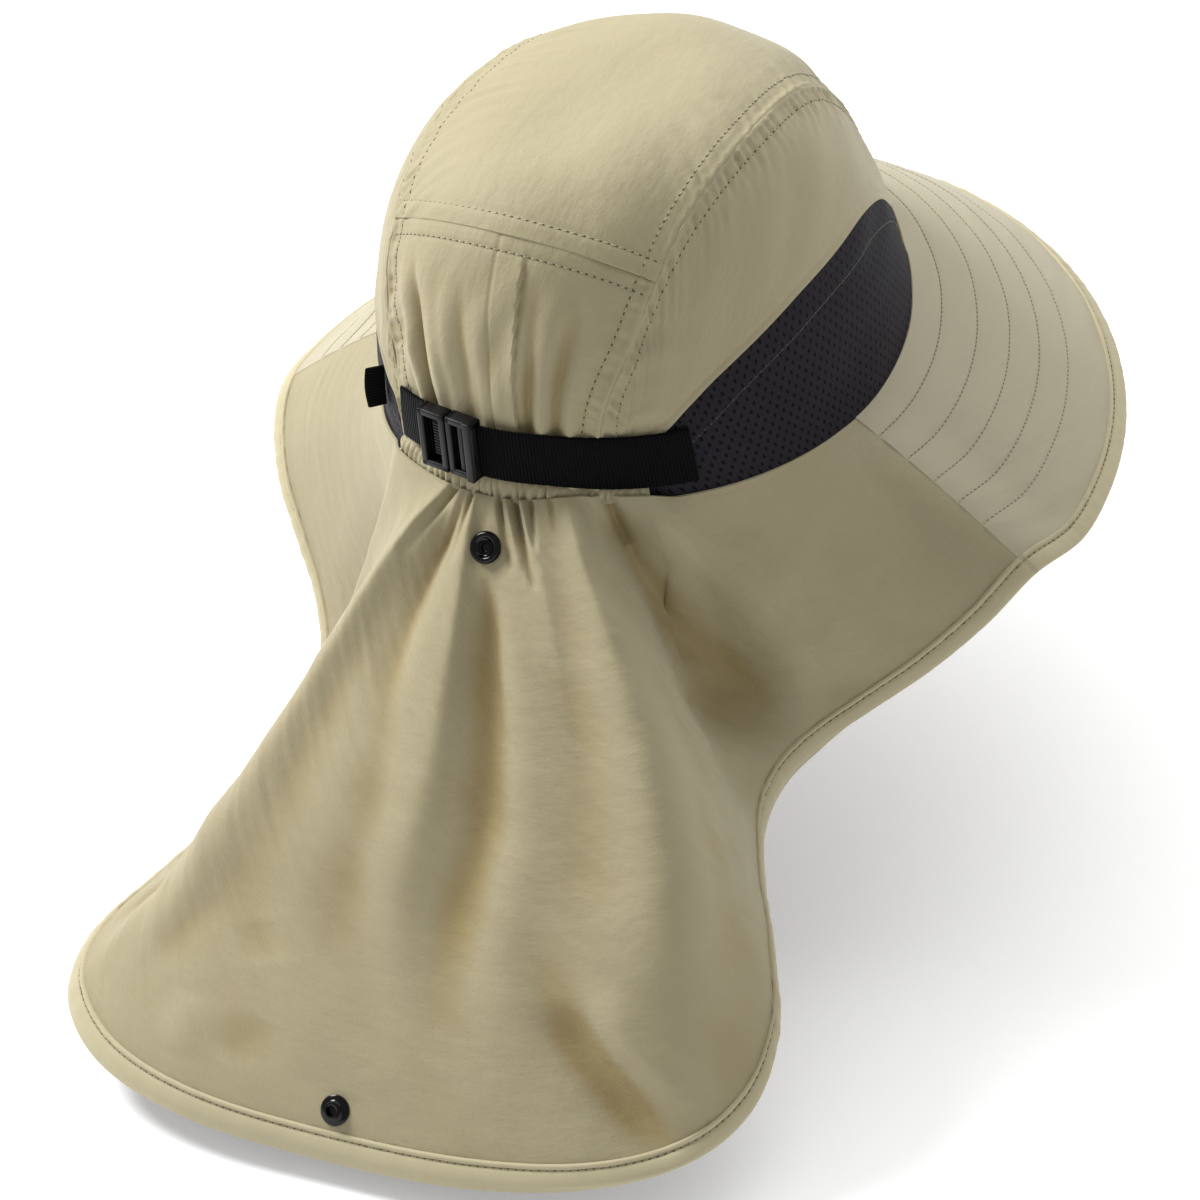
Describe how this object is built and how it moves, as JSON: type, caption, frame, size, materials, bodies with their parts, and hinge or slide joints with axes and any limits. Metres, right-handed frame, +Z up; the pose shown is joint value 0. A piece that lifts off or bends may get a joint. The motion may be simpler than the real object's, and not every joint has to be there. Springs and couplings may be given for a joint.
{
  "type": "flap sun hat",
  "caption": "Soft panelled sun hat with a stitched front brim, mesh side bands, a back strap with buckle, and a long neck flap with a snap to hold it rolled up.",
  "frame": {"origin": "Middle of the head opening, at the height where the crown's back foot and the casing sit on the head.", "axes": "+Z up along the wearer's head, +Y to the back where the neck flap hangs, -Y to the front where the brim points, +X to the wearer's left."},
  "size_m": [0.3156, 0.4335, 0.288],
  "materials": {
    "khaki_cloth": "matte woven nylon",
    "brim_cloth": "matte woven nylon over a stiffener",
    "rim_cloth": "matte woven nylon, folded and stitched",
    "dark_mesh": "matte knitted mesh",
    "black_webbing": "ribbed webbing",
    "black_plastic": "satin moulded",
    "black_enamel": "glossy"
  },
  "bodies": {
    "root": {"crown_top": "khaki_cloth", "crown_back": "khaki_cloth", "crown_side_left": "khaki_cloth", "crown_side_right": "khaki_cloth", "mesh_band_left": "dark_mesh", "mesh_band_right": "dark_mesh", "brim": "brim_cloth", "neck_flap": "khaki_cloth", "edge_binding": "rim_cloth", "elastic_casing": "khaki_cloth", "strap_right": "black_webbing", "strap_left": "black_webbing", "buckle_left": "black_plastic", "buckle_right": "black_plastic", "snap_socket": "black_enamel", "snap_stud": "black_enamel", "label_tab": "black_webbing"}
  },
  "joints": []
}
